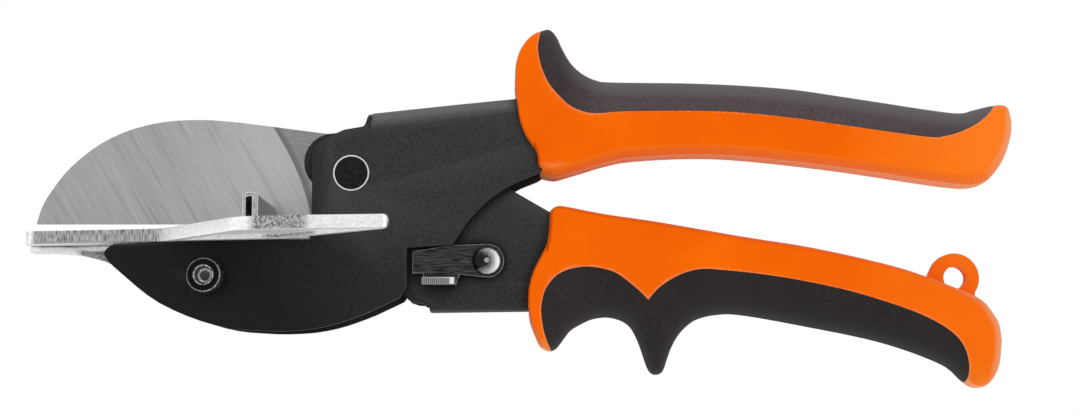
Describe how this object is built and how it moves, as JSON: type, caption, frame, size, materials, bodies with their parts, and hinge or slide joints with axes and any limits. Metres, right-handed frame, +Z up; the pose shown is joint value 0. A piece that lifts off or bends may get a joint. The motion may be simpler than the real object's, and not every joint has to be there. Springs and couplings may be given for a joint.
{
  "type": "mitre shears",
  "caption": "Hand shears with a half-moon blade that closes on an angled cast table to cut strips, trim and hose at set angles.",
  "frame": {"origin": "middle of the bounding box's underside, with the shears lying on their back side", "axes": "+X from the nose of the jaws to the handles, +Y from the lower handle to the upper handle, +Z up along the pivot"},
  "size_m": [0.2478, 0.0916, 0.063],
  "materials": {
    "coated_steel": "black powder coat, satin",
    "blade_steel": "ground, fine slanting lines",
    "cast_aluminium": "die cast, polished facets",
    "black_steel": "black oxide",
    "bright_steel": "bright zinc plated",
    "latch_steel": "dark brushed steel",
    "grip_shell": "moulded, satin gloss",
    "grip_pad": "soft moulded, fine matt grain"
  },
  "bodies": {
    "upper_handle": {"upper_frame": "coated_steel", "upper_grip_shell": "grip_shell", "upper_grip_pad": "grip_pad", "cutting_table": "cast_aluminium", "fence_front": "bright_steel", "fence_back": "bright_steel", "table_screw": "black_steel", "table_nut": "bright_steel", "pivot_pin": "black_steel", "pivot_sleeve": "bright_steel"},
    "lower_handle": {"lower_frame": "coated_steel", "lower_grip_shell": "grip_shell", "lower_grip_pad": "grip_pad", "blade": "blade_steel", "blade_spacer_front": "black_steel", "blade_spacer_back": "black_steel", "blade_rivet": "bright_steel", "latch_rivet": "bright_steel", "opening_spring": "bright_steel"},
    "latch": {"latch_lever": "latch_steel"}
  },
  "joints": [
    {"name": "handle_pivot", "type": "hinge", "parent": "upper_handle", "child": "lower_handle", "pos_m": [-0.0433, 0.00745, 0.0315], "axis": [0, 0, -1], "range_deg": [0, 22.5], "deforming": ["opening_spring"]},
    {"name": "latch_pivot", "type": "hinge", "parent": "lower_handle", "child": "latch", "pos_m": [-0.0093, -0.01455, 0.0315], "axis": [0, 0, 1], "range_deg": [0, 101.25]}
  ],
  "couplings": [
    {"joint": "latch_pivot", "follows": "handle_pivot", "ratio": 4.5}
  ]
}
